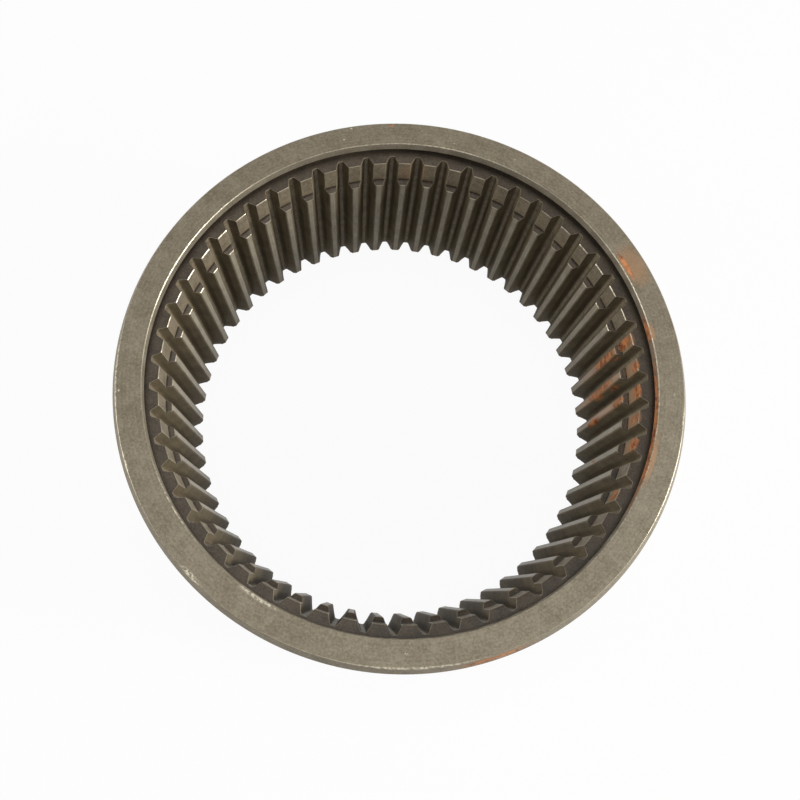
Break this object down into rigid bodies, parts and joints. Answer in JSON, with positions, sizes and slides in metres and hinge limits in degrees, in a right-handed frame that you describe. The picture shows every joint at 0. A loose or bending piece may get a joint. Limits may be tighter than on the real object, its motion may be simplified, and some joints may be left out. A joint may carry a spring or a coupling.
{
  "type": "internal ring gear",
  "caption": "One-piece internal ring gear of a planetary hub reduction: straight teeth all round, shortened at the end with the snap ring groove and collar.",
  "frame": {"origin": "centre of the lower end face, on the gear's axis", "axes": "+Z along the gear's axis towards the end with the collar and snap ring groove; +X through the middle of a tooth space"},
  "size_m": [0.258, 0.258, 0.095],
  "materials": {
    "gear_steel": "machined and hardened, dark, oiled, with some rust"
  },
  "bodies": {
    "root": {"ring_gear": "gear_steel"}
  },
  "joints": []
}
